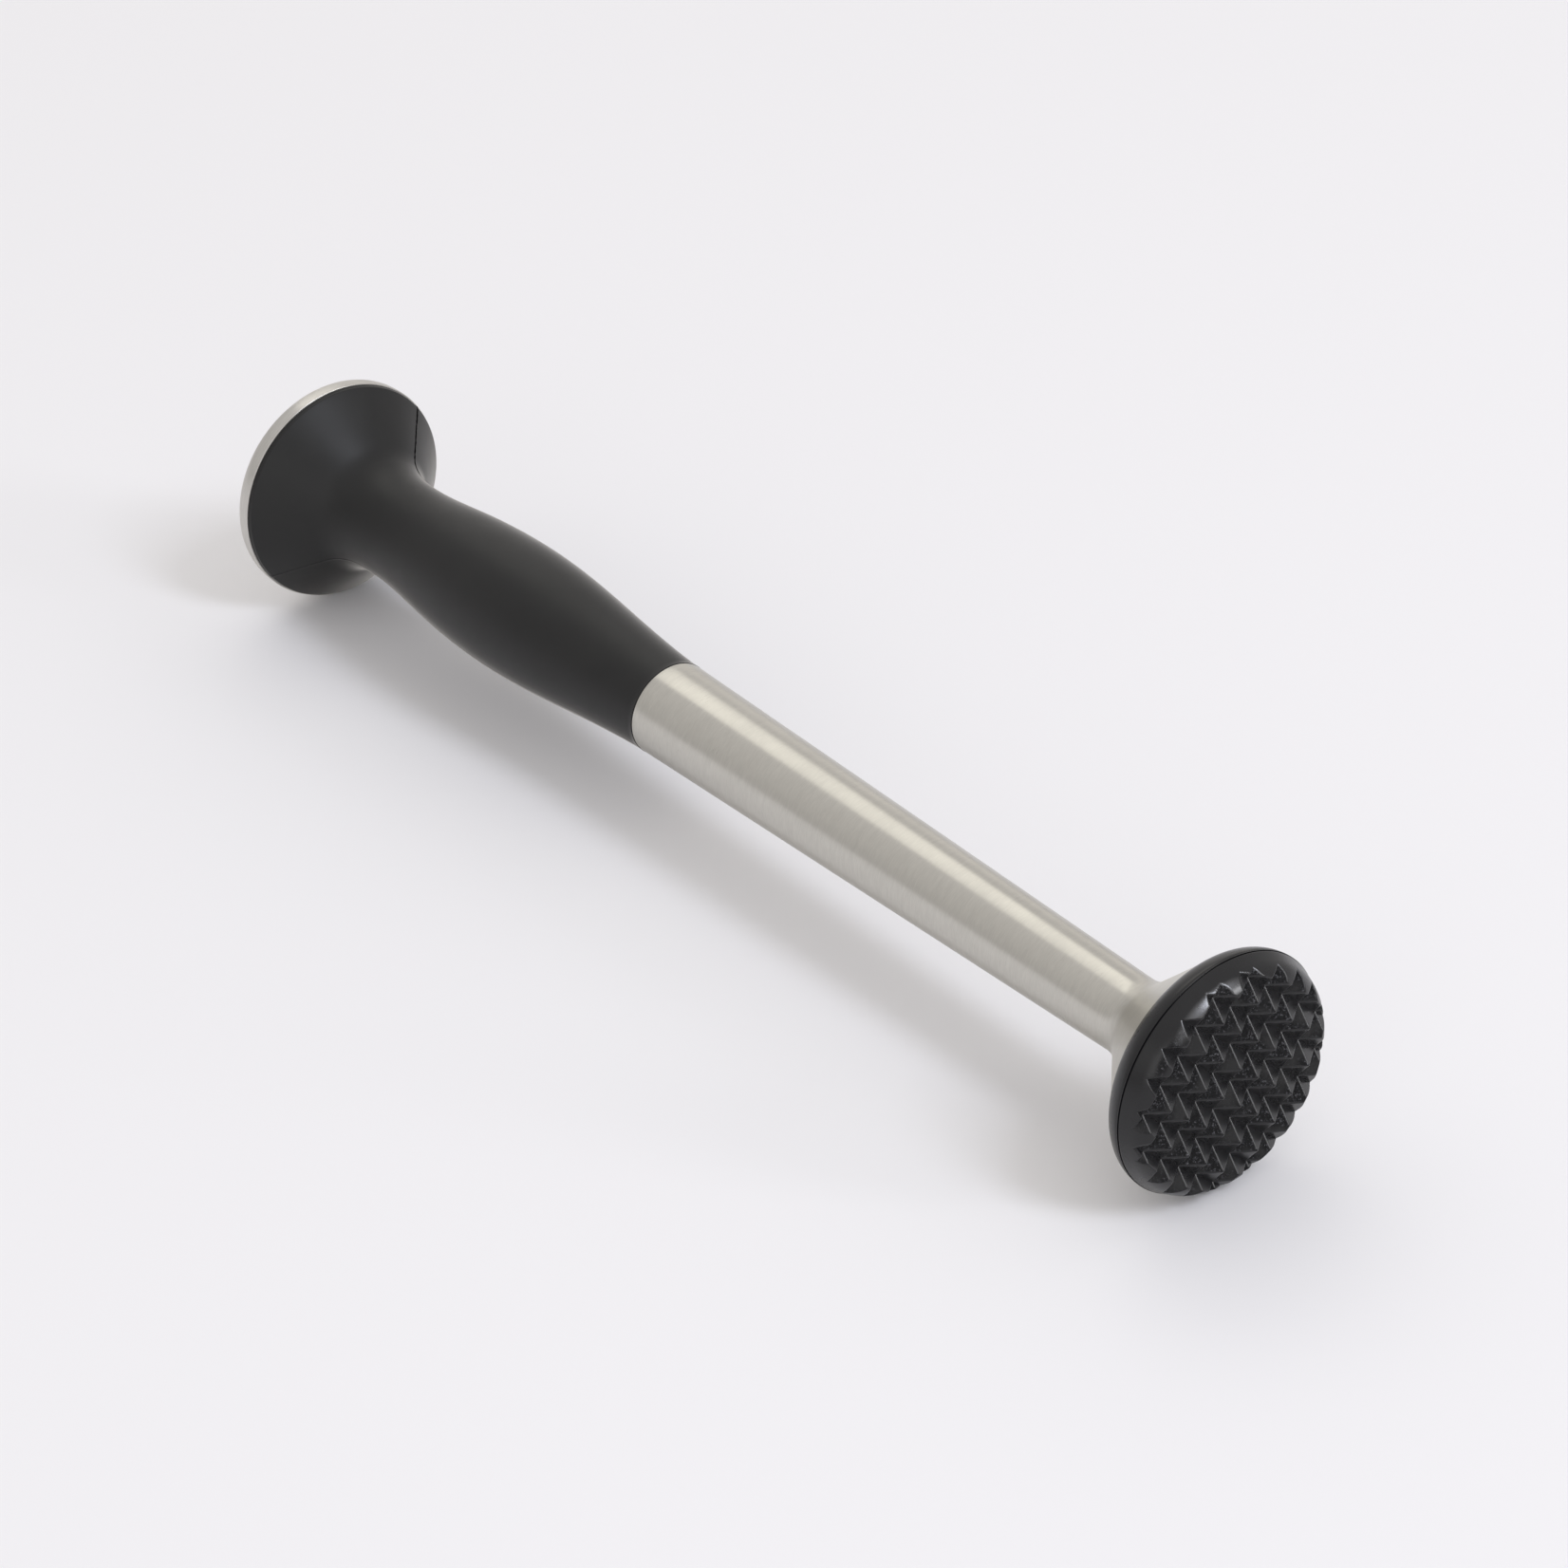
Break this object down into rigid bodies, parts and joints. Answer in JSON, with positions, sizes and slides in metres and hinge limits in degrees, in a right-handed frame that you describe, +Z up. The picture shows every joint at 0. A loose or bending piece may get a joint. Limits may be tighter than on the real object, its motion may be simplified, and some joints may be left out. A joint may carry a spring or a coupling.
{
  "type": "muddler",
  "caption": "In-line hand mallet or muddler: round toothed nylon head on a tapered brushed-steel shaft, contoured soft grip with flange, steel pommel cap",
  "frame": {"origin": "centre of the pommel's flat end face", "axes": "+X along the tool's axis from the pommel to the toothed head, +Z up when the tool lies on its two discs"},
  "size_m": [0.2384, 0.0414, 0.0414],
  "materials": {
    "cap_steel": "polished stainless",
    "shaft_steel": "brushed stainless",
    "zinc_steel": "zinc plated",
    "brass": "turned",
    "soft_grip": "matte, fine texture",
    "seal_rubber": "smooth",
    "rigid_plastic": "satin",
    "nylon": "fine spark-eroded texture"
  },
  "bodies": {
    "root": {"end_cap": "cap_steel", "cap_backing": "rigid_plastic", "cap_seal": "seal_rubber", "soft_grip": "soft_grip", "handle_core": "rigid_plastic", "tie_rod": "zinc_steel", "tie_nut": "zinc_steel", "spring_washer": "zinc_steel", "flat_washer": "zinc_steel", "shaft": "shaft_steel", "head_seal": "seal_rubber", "toothed_head": "nylon", "head_insert": "brass"}
  },
  "joints": []
}
